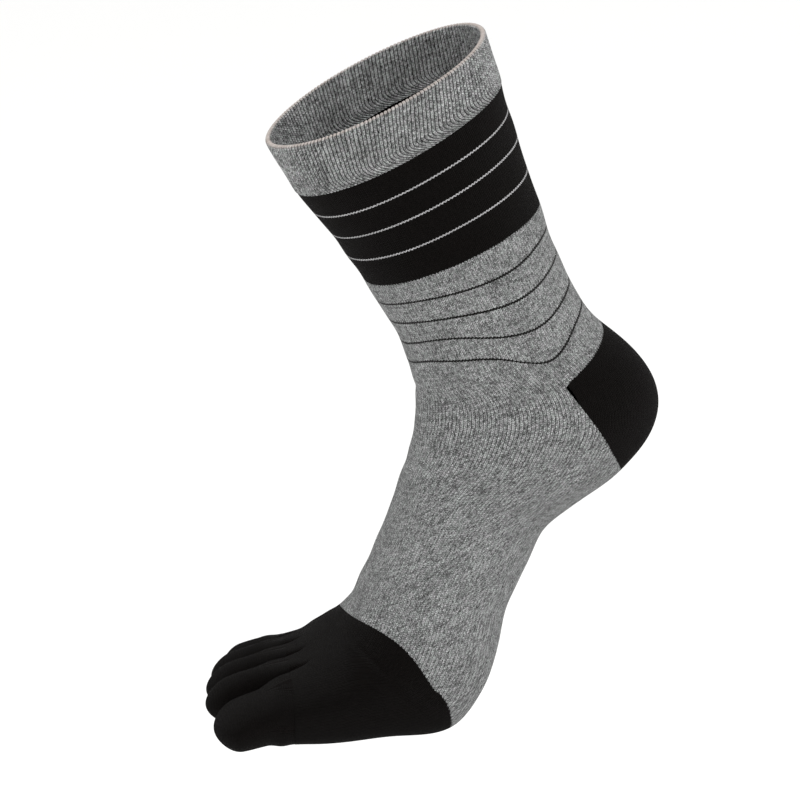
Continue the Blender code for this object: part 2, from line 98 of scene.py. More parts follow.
aim_camera(CAMERA_PLACE, CAMERA_AIM, CAMERA_ROLL, CAMERA_LENS)
pixels_per_mm = 800 * CAMERA_LENS / 36 / np.linalg.norm(CAMERA_PLACE - CAMERA_AIM) / 1000
print("one millimetre of knit is", round(float(pixels_per_mm), 2), "pixels wide")

# %% [markdown]
# These are the sock's own sizes, the same that its solids were made with. The
# leg leans forward, the foot slopes down to the ball, and the toes lie level.

# %% The sock's sizes
GAP = 0.0003
WALL = 0.0012
CUFF_WALL = 0.0020
LEG_LEAN = 22.4
LEG_LENGTH = 0.1188
CUFF_HEIGHT = 0.0180
BAND_HEIGHT = 0.0408
CUFF_DEPTH = 0.0800
CUFF_WIDTH = 0.0650
ANKLE_DEPTH = 0.0610
ANKLE_WIDTH = 0.0520
CUFF_RIBS = 166
HEEL_DEPTH = 0.0848
HEEL_WIDTH = 0.0530
HEEL_REACH = np.radians(97.0)
HEEL_TOP_BEND = 0.75
HEEL_UNDER_BEND = 0.45
FOOT_SLOPE = 57.0
FOOT_LENGTH = 0.1048
ARCH_DEPTH = 0.0490
ARCH_WIDTH = 0.0580
BALL_DEPTH = 0.0488
BALL_WIDTH = 0.0740
TOE_BOX_LENGTH = 0.0362
TOE_ROOT_HEIGHT = 0.0225
BIG_TOE_WIDTH = 0.0240
BIG_TOE_LENGTH = 0.0272
SMALL_TOE_WIDTH = 0.0128
SMALL_TOE_LENGTH = 0.0300
CREASE_SHARE = 0.45
CELL_POWER = 5.0
TOE_POWER = 2.3
SETTLE_SHARE = 0.40
TIP_SHARE = 0.30

# Rings from the rim to the toe roots: name, axis, along it, rise across it, tilt in
# degrees, depth, width, where it is widest, the powers of its front and of its
# back, how much its top falls to the outer side, how far its inner side leads.
RINGS = [
    ("rim", "leg", 1.00 * LEG_LENGTH, 0.0, -0.6,
     1.00 * CUFF_DEPTH, 1.06 * CUFF_WIDTH, 0.50, 2.0, 2.05, 0.00, 0.00),
    ("cuff_hem", "leg", LEG_LENGTH - CUFF_HEIGHT, 0.007 * CUFF_DEPTH, -1.8,
     0.953 * CUFF_DEPTH, 0.99 * CUFF_WIDTH, 0.50, 2.05, 2.1, 0.00, 0.00),
    ("calf", "leg", 0.675 * LEG_LENGTH, 0.002 * CUFF_DEPTH, -0.6,
     0.863 * CUFF_DEPTH, 0.91 * CUFF_WIDTH, 0.50, 2.05, 2.1, 0.00, 0.00),
    ("band_hem", "leg", LEG_LENGTH - CUFF_HEIGHT - BAND_HEIGHT, 0.003 * ANKLE_DEPTH, 2.9,
     1.052 * ANKLE_DEPTH, 1.05 * ANKLE_WIDTH, 0.50, 2.1, 2.1, 0.00, 0.00),
    ("ankle", "leg", 0.345 * LEG_LENGTH, 0.005 * ANKLE_DEPTH, 6.4,
     1.00 * ANKLE_DEPTH, 1.00 * ANKLE_WIDTH, 0.50, 2.1, 2.1, 0.00, 0.00),
    ("ankle_bend", "leg", 0.235 * LEG_LENGTH, 0.001 * ANKLE_DEPTH, 9.0,
     1.008 * ANKLE_DEPTH, 1.00 * ANKLE_WIDTH, 0.50, 2.1, 2.1, 0.00, 0.00),
    ("heel_top", "leg", 0.134 * LEG_LENGTH, -0.009 * ANKLE_DEPTH, 12.8,
     0.789 * HEEL_DEPTH, 0.98 * HEEL_WIDTH, 0.50, 2.1, 2.15, 0.00, 0.00),
    ("heel_side", "foot", -0.057 * FOOT_LENGTH, 0.026 * HEEL_DEPTH, -35.4,
     0.915 * HEEL_DEPTH, 1.00 * HEEL_WIDTH, 0.50, 2.1, 2.2, 0.00, 0.00),
    ("heel_back", "foot", 0.025 * FOOT_LENGTH, -0.081 * HEEL_DEPTH, -26.4,
     1.00 * HEEL_DEPTH, 1.00 * HEEL_WIDTH, 0.49, 2.1, 2.3, 0.00, 0.00),
    ("heel_pad", "foot", 0.120 * FOOT_LENGTH, -0.108 * HEEL_DEPTH, -22.4,
     0.945 * HEEL_DEPTH, 0.99 * HEEL_WIDTH, 0.48, 2.1, 2.4, 0.02, 0.00),
    ("heel_under", "foot", 0.221 * FOOT_LENGTH, -0.103 * HEEL_DEPTH, -20.1,
     0.851 * HEEL_DEPTH, 0.99 * HEEL_WIDTH, 0.48, 2.1, 2.5, 0.04, 0.00),
    ("arch_back", "foot", 0.336 * FOOT_LENGTH, -0.099 * ARCH_DEPTH, -17.5,
     1.202 * ARCH_DEPTH, 0.94 * ARCH_WIDTH, 0.48, 2.1, 2.6, 0.06, 0.00),
    ("arch_middle", "foot", 0.435 * FOOT_LENGTH, -0.062 * ARCH_DEPTH, -16.0,
     1.039 * ARCH_DEPTH, 0.97 * ARCH_WIDTH, 0.47, 2.1, 2.6, 0.08, -0.02),
    ("arch", "foot", 0.547 * FOOT_LENGTH, -0.080 * ARCH_DEPTH, -12.0,
     1.00 * ARCH_DEPTH, 1.00 * ARCH_WIDTH, 0.46, 2.1, 2.6, 0.11, -0.04),
    ("instep", "foot", 0.682 * FOOT_LENGTH, -0.100 * BALL_DEPTH, -9.0,
     0.967 * BALL_DEPTH, 0.85 * BALL_WIDTH, 0.45, 2.1, 2.7, 0.15, -0.07),
    ("ball_back", "foot", 0.807 * FOOT_LENGTH, -0.139 * BALL_DEPTH, -2.1,
     1.005 * BALL_DEPTH, 0.92 * BALL_WIDTH, 0.44, 2.15, 3.2, 0.18, -0.09),
    ("ball", "foot", 0.895 * FOOT_LENGTH, -0.152 * BALL_DEPTH, 3.4,
     1.00 * BALL_DEPTH, 0.97 * BALL_WIDTH, 0.43, 2.2, 3.7, 0.21, -0.11),
    ("toe_line", "foot", 1.00 * FOOT_LENGTH, -0.097 * BALL_DEPTH, 15.5,
     0.984 * BALL_DEPTH, 1.00 * BALL_WIDTH, 0.43, 2.3, 4.2, 0.24, -0.12),
    ("toe_bend", "toe", 0.381 * TOE_BOX_LENGTH, -0.102 * TOE_ROOT_HEIGHT, -22.8,
     1.555 * TOE_ROOT_HEIGHT, 1.00 * BALL_WIDTH, 0.44, 2.4, 4.2, 0.26, -0.04),
    ("toe_flat", "toe", 0.725 * TOE_BOX_LENGTH, -0.196 * TOE_ROOT_HEIGHT, -7.0,
     1.165 * TOE_ROOT_HEIGHT, 1.01 * BALL_WIDTH, 0.46, 2.5, 3.8, 0.36, 0.08),
    ("toe_roots", "toe", 1.00 * TOE_BOX_LENGTH, -0.211 * TOE_ROOT_HEIGHT, 0.0,
     1.00 * TOE_ROOT_HEIGHT, None, 0.48, 2.6, 3.4, 0.44, 0.15),
]

# The line between the grey and the black of the foot: angle from the front, lead.
TOE_LINE = [
    (-180.0, 0.070 * BALL_DEPTH),
    (-115.0, 0.072 * BALL_DEPTH),
    (-89.0, -0.016 * BALL_DEPTH),
    (-68.0, -0.130 * BALL_DEPTH),
    (-44.0, -0.168 * BALL_DEPTH),
    (0.0, -0.060 * BALL_DEPTH),
    (60.0, -0.030 * BALL_DEPTH),
    (115.0, 0.050 * BALL_DEPTH),
    (180.0, 0.070 * BALL_DEPTH),
]

# Toes from the inner side: name, width, length.
TOES = [
    ("big_toe", BIG_TOE_WIDTH, BIG_TOE_LENGTH),
    ("second_toe", 1.05 * SMALL_TOE_WIDTH, 0.98 * SMALL_TOE_LENGTH),
    ("third_toe", 1.00 * SMALL_TOE_WIDTH, 0.96 * SMALL_TOE_LENGTH),
    ("fourth_toe", 0.98 * SMALL_TOE_WIDTH, 0.89 * SMALL_TOE_LENGTH),
    ("little_toe", 1.01 * SMALL_TOE_WIDTH, 0.72 * SMALL_TOE_LENGTH),
]
ROOT_WIDTH = sum(width for name, width, length in TOES)

# A toe's side view: how far along, drop of its top, rise of its sole, width.
BIG_TOE_FORM = np.array([
    (0.00, 0.00, 0.00, 1.00),
    (0.30, 0.10, 0.07, 0.97),
    (0.60, 0.19, 0.05, 0.98),
    (0.85, 0.30, 0.06, 0.96),
    (1.00, 0.36, 0.11, 0.92),
])
SMALL_TOE_FORM = np.array([
    (0.00, 0.00, 0.00, 1.00),
    (0.30, 0.05, 0.09, 0.95),
    (0.60, 0.11, 0.12, 0.95),
    (0.85, 0.20, 0.16, 0.96),
    (1.00, 0.26, 0.20, 0.92),
])
print("rings:", len(RINGS), "toes:", len(TOES))

# %% [markdown]
# A sock's form could be sculpted or lofted by hand. Here it is one function of
# two parameters: the place along the tube and the angle from its front. Every
# piece asks that function, so neighbouring pieces meet exactly.

# %% The form of the tube


def natural_spline(knots, values, at):
    """Cubic curves through the values at the knots, joined with equal slope and bend."""
    knots = np.asarray(knots, float)
    values = np.asarray(values, float)
    at = np.asarray(at, float)
    step = np.diff(knots)
    slope = np.diff(values, axis=0) / step[:, None]
    system = np.eye(len(knots))
    change = np.zeros_like(values)
    inner = np.arange(1, len(knots) - 1)
    system[inner, inner - 1] = step[:-1]
    system[inner, inner] = 2 * (step[:-1] + step[1:])
    system[inner, inner + 1] = step[1:]
    change[1:-1] = 6 * np.diff(slope, axis=0)
    bend = np.linalg.solve(system, change)
    cell = np.clip(np.searchsorted(knots, at, side="right") - 1, 0, len(knots) - 2)
    t = (at - knots[cell])[..., None]
    width = step[cell][..., None]
    start = slope[cell] - width * (2 * bend[cell] + bend[cell + 1]) / 6
    return (values[cell] + t * start + t ** 2 * bend[cell] / 2
            + t ** 3 * (bend[cell + 1] - bend[cell]) / (6 * width))


def signed_power(value, power):
    """The power of a value's size, with the value's sign."""
    return np.sign(value) * np.abs(value) ** power


def ring_table():
    """One row a ring: front y and z, back y and z, width, widest, the two powers, fall, slant."""
    lean = np.radians(LEG_LEAN)
    slope = np.radians(FOOT_SLOPE)
    foot_down = np.array([np.cos(slope), -np.sin(slope)])
    foot_top = np.array([np.sin(slope), np.cos(slope)])
    line = next(ring for ring in RINGS if ring[0] == "toe_line")
    axes = {
        "leg": (np.zeros(2), np.array([np.sin(lean), np.cos(lean)]),
                np.array([np.cos(lean), -np.sin(lean)]), -LEG_LEAN),
        "foot": (np.zeros(2), foot_down, foot_top, 90 - FOOT_SLOPE),
        "toe": (foot_down * line[2] + foot_top * line[3],
                np.array([1.0, 0.0]), np.array([0.0, 1.0]), 90.0),
    }
    rows = []
    for name, axis, along, rise, tilt, depth, width, widest, top, sole, fall, slant in RINGS:
        start, forward, across, angle = axes[axis]
        centre = start + forward * along + across * rise
        turned = np.radians(angle + tilt)
        half = depth / 2 * np.array([np.cos(turned), np.sin(turned)])
        rows.append([*(centre + half), *(centre - half), width or ROOT_WIDTH,
                     widest, top, sole, fall, slant])
    return np.array(rows)


RING_TABLE = ring_table()
ring_steps = np.diff(RING_TABLE[:, :4], axis=0)
front_steps = np.hypot(ring_steps[:, 0], ring_steps[:, 1])
back_steps = np.hypot(ring_steps[:, 2], ring_steps[:, 3])
STATIONS = np.concatenate([[0.0], np.cumsum((front_steps + back_steps) / 2)])
STATION = {ring[0]: float(place) for ring, place in zip(RINGS, STATIONS)}
WIDTH, WIDEST, ROUND, SOLE, FALL, SLANT = range(4, 10)
TOE_EDGES = np.concatenate([[0.0], np.cumsum([toe[1] for toe in TOES])]) - ROOT_WIDTH / 2


def toe_lobe(x):
    """The share of full height that a toe's round top keeps across its own width."""
    cell = np.clip(np.searchsorted(TOE_EDGES, x) - 1, 0, len(TOES) - 1)
    half = (TOE_EDGES[cell + 1] - TOE_EDGES[cell]) / 2
    across = np.clip((x - TOE_EDGES[cell]) / half - 1, -1, 1)
    outside = ((cell == 0) & (across < 0)) | ((cell == len(TOES) - 1) & (across > 0))
    lobe = (1 - np.abs(across) ** CELL_POWER) ** (1 / CELL_POWER)
    return np.where(outside, 1.0, np.maximum(lobe, 1 - CREASE_SHARE))


def tube_point(place, turn, lobed=True):
    """A superellipse ring at a place along the tube, at an angle from its front.

    x is half the width times the sine's power, and the reach from the widest
    line is the depth's share times the cosine's power.
    """
    square = natural_spline(STATIONS, RING_TABLE, place)
    power = np.where(np.cos(turn) > 0, square[..., ROUND], square[..., SOLE])
    wide = signed_power(np.sin(turn), 2 / power)
    deep = signed_power(np.cos(turn), 2 / power)
    slanted = place - square[..., SLANT] * square[..., WIDTH] / 2 * wide
    row = natural_spline(STATIONS, RING_TABLE, slanted)
    front, back = row[..., 0:2], row[..., 2:4]
    depth = np.linalg.norm(front - back, axis=-1)
    across = (front - back) / depth[..., None]
    x = row[..., WIDTH] / 2 * wide
    widest = row[..., WIDEST]
    top_share = (1 - widest) * (1 - row[..., FALL] * np.sin(turn))
    reach = np.where(deep > 0, top_share, widest) * depth * deep
    if lobed:
        creased = (place - STATION["toe_flat"]) / (STATION["toe_roots"] - STATION["toe_flat"])
        creased = np.clip(creased, 0, 1) ** 2
        reach = reach * (1 - creased * (1 - toe_lobe(x)))
    side = back + (widest * depth + reach)[..., None] * across
    return np.concatenate([x[..., None], side], axis=-1)


def cloth_slack(place, turn):
    """How far the cloth stands off the even form: long, shallow waves and one toe fold.

    Three sines of the angle and the place are added, a third of a millimetre
    in all, and a fold that runs beside the toe line on the inner side.
    """
    wave = 0.12e-3 * np.sin(3 * turn + place * 190) * np.sin(place * 110 + 1.0)
    wave = wave + 0.10e-3 * np.sin(5 * turn - place * 260 + 0.6)
    wave = wave + 0.08e-3 * np.sin(2 * turn + place * 420)
    behind = place - STATION["toe_line"] - 0.0055
    inner_side = np.exp(-((back_turn(turn) + np.radians(58)) / np.radians(34)) ** 2)
    dip = -0.55e-3 * np.exp(-(behind / 0.0016) ** 2)
    fold = dip + 0.35e-3 * np.exp(-((behind - 0.004) / 0.0024) ** 2)
    held = np.clip((STATION["toe_roots"] - place) / 0.010, 0, 1)
    return (wave + fold * inner_side) * held ** 2 * (3 - 2 * held)


def back_turn(turn):
    """An angle from the front between minus and plus half a turn."""
    return (turn + np.pi) % (2 * np.pi) - np.pi


def tube_frame(place, turn, lobed=True):
    """The surface point and the outward normal, the cross product of the two tangents."""
    step = 2e-5
    point = tube_point(place, turn, lobed)
    along = tube_point(place + step, turn, lobed) - tube_point(place - step, turn, lobed)
    around = tube_point(place, turn + step, lobed) - tube_point(place, turn - step, lobed)
    normal = np.cross(around, along)
    normal /= np.linalg.norm(normal, axis=-1, keepdims=True)
    return point + normal * cloth_slack(place, turn)[..., None], normal


print("the tube is", round(STATIONS[-1] * 1000, 1), "mm long to the toe roots")

# %% [markdown]
# Knitting has its own coordinates. A wale is a column of stitches that runs down
# the tube, and a course is a row around it. Wales are counted by the share of
# the way round, courses by the length down the cloth. Both are read from one
# table of the surface, so the stitches keep their size where the form widens.

# %% Wales and courses
WALES = CUFF_RIBS
COURSE_PITCH = 0.00080
table_places = np.linspace(-0.004, STATIONS[-1] + 0.016, 440)
table_turns = np.radians(np.linspace(-180, 180, 721))
place_grid, turn_grid = np.meshgrid(table_places, table_turns, indexing="ij")
table_points = tube_point(place_grid, turn_grid, lobed=False)
round_steps = np.linalg.norm(np.diff(table_points, axis=1), axis=2)
round_sums = np.concatenate([np.zeros((len(table_places), 1)), np.cumsum(round_steps, axis=1)], axis=1)
share_table = round_sums / round_sums[:, -1:]
down_steps = np.linalg.norm(np.diff(table_points, axis=0), axis=2)
down_table = np.concatenate([np.zeros((1, len(table_turns))), np.cumsum(down_steps, axis=0)], axis=0)


def read_table(table, place, turn):
    """The table's value between its four nearest entries, weighted by nearness."""
    row = (place - table_places[0]) / (table_places[1] - table_places[0])
    column = (turn - table_turns[0]) / (table_turns[1] - table_turns[0])
    low_row = np.clip(np.floor(row).astype(int), 0, len(table_places) - 2)
    low_column = np.clip(np.floor(column).astype(int), 0, len(table_turns) - 2)
    down = row - low_row
    right = column - low_column
    upper = table[low_row, low_column] * (1 - right) + table[low_row, low_column + 1] * right
    lower = table[low_row + 1, low_column] * (1 - right) + table[low_row + 1, low_column + 1] * right
    return upper * (1 - down) + lower * down


def stitch_grid(place, turn):
    """The wale number, from the share of the way round, and the course number, from the length down."""
    laps = np.floor((turn + np.pi) / (2 * np.pi) - 1e-9)
    inside = turn - 2 * np.pi * laps
    wale = (read_table(share_table, place, inside) + laps) * WALES
    course = read_table(down_table, place, inside) / COURSE_PITCH
    return np.stack([wale, course], axis=-1)


def cloth_stretch(place):
    """How much wider the stitches are at a place than at the ankle, as a share."""
    around = np.interp(place, table_places, round_sums[:, -1])
    return around / np.interp(STATION["ankle"], table_places, round_sums[:, -1]) - 1


def even_turns(place, start, end, count):
    """Angles from start to end, spaced so that the columns are evenly far apart at a place."""
    fine = np.linspace(start, end, 2000)
    share = stitch_grid(place + 0 * fine, fine)[:, 0]
    return np.interp(np.linspace(share[0], share[-1], count), share, fine)


ankle_round = np.interp(STATION["ankle"], table_places, round_sums[:, -1])
print("wale pitch at the ankle:", round(ankle_round / WALES * 1000, 2), "mm")
print("stitches are wider at the heel by", round(float(cloth_stretch(STATION["heel_back"])), 2))

# %% [markdown]
# The colour lines. Thin stripes and the edges of the black parts follow courses,
# and near the heel the courses are pulled towards the point of its pocket. Each
# line is a short table of angle and place, smoothed by the same spline. A number
# that climbs by one over a short ramp at each line goes into the mesh, and the
# material paints the yarn where that number is halfway up a ramp.

# %% Lines of other yarn
LINE_RAMP = 0.004
FAR_OFF = 9.0  # millimetres, farther from an edge than any tooth of other yarn reaches
LIGHT_LINES = [0.0276, 0.0372, 0.0478]
BLACK_LINES = [
    [(-180, 67.0), (-138, 67.7), (-112, 69.8), (-96, 70.0), (-70, 68.8), (-42, 68.0), (0, 68.8)],
    [(-180, 75.3), (-140, 77.2), (-115, 79.7), (-98, 80.0), (-70, 77.9), (-34, 76.6), (0, 77.6)],
    [(-180, 85.2), (-132, 88.7), (-110, 91.4), (-94, 91.0), (-66, 86.3), (-34, 85.1), (0, 87.2)],
    [(-180, 94.3), (-134, 97.0), (-110, 102.6), (-99, 103.6), (-84, 98.8), (-56, 94.4), (-27, 93.7),
     (0, 95.8)],
]


def line_place(table, turn):
    """The place of a line at an angle; the outer side has the same line as the inner one."""
    knots = np.array(table)
    mirrored = np.concatenate([knots, knots[-2::-1] * [-1, 1]])
    places = natural_spline(mirrored[:, 0], mirrored[:, 1:] / 1000, np.degrees(back_turn(turn)))
    return places[..., 0]


def count_lines(place, turn, lines):
    """The number of lines above a place; each line is a ramp from one number to the next.

    A ramp is LINE_RAMP wide with its line in the middle, so the fraction tells
    the distance from the line.
    """
    count = np.zeros_like(place)
    for line in lines:
        count = count + np.clip((place - line(turn)) / LINE_RAMP + 0.5, 0, 1)
    return count


def constant_line(place):
    """A line that lies at the same place all round."""
    return lambda turn: place + 0 * turn


def traced_line(table):
    """A line that follows its table."""
    return lambda turn: line_place(table, turn)


def toe_line(turn):
    """The place of the line between the grey foot and the black toe box."""
    knots = np.array(TOE_LINE)
    shift = natural_spline(knots[:, 0], knots[:, 1:], np.degrees(back_turn(turn)))
    return STATION["toe_line"] + shift[..., 0]


def heel_edges(turn):
    """The places of the heel pocket's two edges, powers of a sine of the way to the back."""
    rise = np.clip((np.abs(back_turn(turn)) - HEEL_REACH) / (np.pi - HEEL_REACH), 0, 1)
    rise = np.sin(rise * np.pi / 2)
    side = STATION["heel_side"]
    upper = side + (STATION["heel_top"] - side) * rise ** HEEL_TOP_BEND
    lower = side + (STATION["heel_under"] - side) * rise ** HEEL_UNDER_BEND
    return upper, lower


BAND_LINES = [constant_line(place) for place in LIGHT_LINES]
BODY_LINES = [traced_line(table) for table in BLACK_LINES]
print("stripes on the band:", len(BAND_LINES), "and on the ankle:", len(BODY_LINES))

# %% [markdown]
# A piece of cloth is a wall: an outer face, an inner face and the rims between
# them. Solidify could make it, but here the inner face is moved along the exact
# normals, and the rims are found as the edges that only one face uses.

# %% Put a wall of cloth into a mesh


def grid_quads(ids, skipped_rows=()):
    """Four-sided faces between neighbouring rows and columns of point numbers."""
    quads = np.stack([ids[:-1, :-1], ids[:-1, 1:], ids[1:, 1:], ids[1:, :-1]], axis=-1)
    kept = np.setdiff1d(np.arange(len(quads)), skipped_rows)
    return quads[kept].reshape(-1, 4)


def open_edges(faces, corners):
    """The edges that one face alone uses, in its direction, with the corners they come from."""
    start = faces.ravel()
    end = np.roll(faces, -1, axis=1).ravel()
    start_corner = corners.ravel()
    end_corner = np.roll(corners, -1, axis=1).ravel()
    size = faces.max() + 1
    alone = ~np.isin(start * size + end, end * size + start) & (start != end)
    return np.stack([start, end, start_corner, end_corner], axis=-1)[alone]


def put_in_mesh(name, points, faces, corners, stitches, lines, stretch, material):
    """A mesh object from points and faces, with two maps and the stretch read at the corners."""
    used, faces = np.unique(faces, return_inverse=True)
    faces = faces.reshape(-1, 4)
    flat = faces[:, 2] == faces[:, 3]
    mesh = bpy.data.meshes.new(name)
    rows = faces.tolist()
    corner_rows = corners.tolist()
    rows = [row[:3] if is_flat else row for row, is_flat in zip(rows, flat)]
    corner_rows = [row[:3] if is_flat else row for row, is_flat in zip(corner_rows, flat)]
    mesh.from_pydata(points[used].tolist(), [], rows)
    order = np.concatenate([np.array(row) for row in corner_rows])
    for map_name, values in (("stitches", stitches), ("lines", lines)):
        layer = mesh.uv_layers.new(name=map_name)
        layer.data.foreach_set("uv", values[order].astype(np.float32).ravel())
    layer = mesh.attributes.new("stretch", "FLOAT", "CORNER")
    layer.data.foreach_set("value", stretch[order].astype(np.float32))
    mesh.materials.append(material)
    mesh.shade_smooth()
    mesh.set_sharp_from_angle(angle=np.radians(60))
    piece = bpy.data.objects.new(name, mesh)
    bpy.context.scene.collection.objects.link(piece)
    return piece


def cloth_wall(name, outer, inner, ids, stitches, lines, stretch, material, skipped_rows=()):
    """A closed wall between two grids of points that share one grid of point numbers."""
    count = outer.shape[0] * outer.shape[1]
    corner_ids = np.arange(count).reshape(outer.shape[:2])
    faces = grid_quads(ids, skipped_rows)
    corners = grid_quads(corner_ids, skipped_rows)
    edges = open_edges(faces, corners)
    rims = np.stack([edges[:, 1], edges[:, 0], edges[:, 0] + count, edges[:, 1] + count], axis=-1)
    rim_corners = np.stack([edges[:, 3], edges[:, 2], edges[:, 2], edges[:, 3]], axis=-1)
    all_faces = np.concatenate([faces, faces[:, ::-1] + count, rims])
    all_corners = np.concatenate([corners, corners[:, ::-1], rim_corners])
    points = np.concatenate([outer.reshape(-1, 3), inner.reshape(-1, 3)])
    piece = put_in_mesh(name, points, all_faces, all_corners, stitches.reshape(-1, 2),
                        lines.reshape(-1, 2), stretch.ravel(), material)
    print(name, "faces:", len(piece.data.polygons))
    return piece


def closed_ids(rows, columns):
    """Point numbers of a grid whose last column is its first one again."""
    ids = np.arange(rows * columns).reshape(rows, columns)
    ids[:, -1] = ids[:, 0]
    return ids


def dress(piece, node):
    """The piece rides on the sock's one body and stands for its solid."""
    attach(piece, "root")
    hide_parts(node)

# %% [markdown]
# The yarns. Marl is spun from light and dark fibres, so its grey is a mixture of
# specks and not one colour. The knit itself is a pattern of small V shapes. Both
# are node groups with named inputs, because several materials use them.

# %% Helpers for node groups


class Nodes:
    """A short way to place nodes in one tree and to join them."""

    def __init__(self, tree):
        self.tree = tree

    def add(self, kind, inputs=(), **settings):
        """A node of a kind, with its settings, and its inputs given in order or by name."""
        node = self.tree.nodes.new(kind)
        for key, value in settings.items():
            setattr(node, key, value)
        pairs = inputs.items() if isinstance(inputs, dict) else enumerate(inputs)
        for key, value in pairs:
            if value is None:
                continue
            if isinstance(value, bpy.types.NodeSocket):
                self.tree.links.new(value, node.inputs[key])
            else:
                node.inputs[key].default_value = value
        return node

    def math(self, operation, first, second=None, third=None, clamp=False):
        """One sum, product or other step of arithmetic on numbers."""
        node = self.add("ShaderNodeMath", (first, second, third), operation=operation, use_clamp=clamp)
        return node.outputs[0]

    def spread(self, value, low, high, to_low=0.0, to_high=1.0):
        """A number moved smoothly from one range into another."""
        inputs = (value, low, high, to_low, to_high)
        node = self.add("ShaderNodeMapRange", inputs, interpolation_type="SMOOTHSTEP")
        return node.outputs[0]

    def pair(self, x, y):
        """A vector of two numbers."""
        return self.add("ShaderNodeCombineXYZ", (x, y)).outputs[0]


def new_group(name, inputs, outputs):
    """An empty shader node group whose inputs have default values, all of them numbers."""
    group = bpy.data.node_groups.new(name, "ShaderNodeTree")
    for socket_name, value in inputs.items():
        socket = group.interface.new_socket(socket_name, in_out="INPUT", socket_type="NodeSocketFloat")
        socket.default_value = value
    for socket_name in outputs:
        group.interface.new_socket(socket_name, in_out="OUTPUT", socket_type="NodeSocketFloat")
    nodes = Nodes(group)
    start = nodes.add("NodeGroupInput")
    end = nodes.add("NodeGroupOutput")
    return group, nodes, start.outputs, end.inputs


# %% [markdown]
# One stitch is a V: two legs side by side that lean towards each other. Seen
# from close by, a wale is a chain of them with a groove on either side, and the
# shade in those grooves and in the notches between courses is painted shade.

# %% The knit pattern


def knit_group():
    """Height is the round of a leg less the notch of a course; Shade is the light that reaches it.

    A leg's round is one less the square of the distance from its middle, and
    Open is how far the grooves between the wales are pulled apart.
    """
    group, nodes, given, result = new_group(
        "knit stitches", {"Wale": 0.0, "Course": 0.0, "Lean": 1.1, "Open": 0.3},
        ["Height", "Shade", "Groove", "Tone", "Tint"])
    inside = nodes.math("SUBTRACT", nodes.math("FRACT", given["Wale"]), 0.5)
    across = nodes.math("ABSOLUTE", inside)
    leg = nodes.math("MULTIPLY", nodes.math("SUBTRACT", across, 0.25), 4.0)
    round_leg = nodes.math("SUBTRACT", 1.0, nodes.math("MULTIPLY", leg, leg))
    slanted = nodes.math("ADD", given["Course"], nodes.math("MULTIPLY", across, given["Lean"]))
    notch = nodes.math("SUBTRACT", nodes.math("FRACT", slanted), 0.5)
    notch = nodes.math("MULTIPLY", nodes.math("MULTIPLY", notch, notch), 4.0)
    height = nodes.math("SUBTRACT", round_leg, notch)
    nodes.tree.links.new(height, result["Height"])
    groove = nodes.spread(across, 0.33, 0.49)
    nodes.tree.links.new(groove, result["Groove"])
    # painted shade: darker in the grooves between the wales, more where they are pulled open, and in the
    # notches between courses
    depth = nodes.math("MULTIPLY", groove, given["Open"])
    shade = nodes.math("SUBTRACT", 1.0, nodes.math("MULTIPLY", notch, 0.42))
    shade = nodes.math("MULTIPLY", shade, nodes.math("SUBTRACT", 1.0, depth))
    nodes.tree.links.new(shade, result["Shade"])
    side = nodes.math("MULTIPLY", nodes.math("GREATER_THAN", inside, 0.0), 0.5)
    stitch = nodes.pair(nodes.math("ADD", nodes.math("FLOOR", given["Wale"]), side),
                        nodes.math("FLOOR", slanted))
    tone = nodes.add("ShaderNodeTexWhiteNoise", {"Vector": stitch}, noise_dimensions="2D")
    nodes.tree.links.new(tone.outputs["Value"], result["Tone"])
    channels = nodes.add("ShaderNodeSeparateColor", (tone.outputs["Color"],)).outputs
    nodes.tree.links.new(channels[2], result["Tint"])
    return group


def marl_group():
    """Specks is a fine noise; Streaks is a noise drawn out along the courses; Clouds is a wide one."""
    group, nodes, given, result = new_group(
        "marl fibres", {"Wale": 0.0, "Course": 0.0, "Fineness": 3.4}, ["Specks", "Streaks", "Clouds"])
    fine = nodes.pair(nodes.math("MULTIPLY", given["Wale"], given["Fineness"]),
                      nodes.math("MULTIPLY", given["Course"], given["Fineness"]))
    specks = nodes.add("ShaderNodeTexNoise", {"Vector": fine, "Scale": 1.0, "Detail": 1.0,
                                              "Roughness": 0.6}, noise_dimensions="2D")
    nodes.tree.links.new(nodes.spread(specks.outputs["Fac"], 0.32, 0.70), result["Specks"])
    drawn = nodes.pair(nodes.math("MULTIPLY", given["Wale"], 0.22), given["Course"])
    streaks = nodes.add("ShaderNodeTexNoise", {"Vector": drawn, "Scale": 0.8, "Detail": 1.0,
                                               "Roughness": 0.5}, noise_dimensions="2D")
    nodes.tree.links.new(nodes.spread(streaks.outputs["Fac"], 0.3, 0.7), result["Streaks"])
    wide = nodes.pair(given["Wale"], given["Course"])
    clouds = nodes.add("ShaderNodeTexNoise", {"Vector": wide, "Scale": 0.10, "Detail": 3.0,
                                              "Roughness": 0.6}, noise_dimensions="2D")
    nodes.tree.links.new(nodes.spread(clouds.outputs["Fac"], 0.3, 0.7), result["Clouds"])
    return group


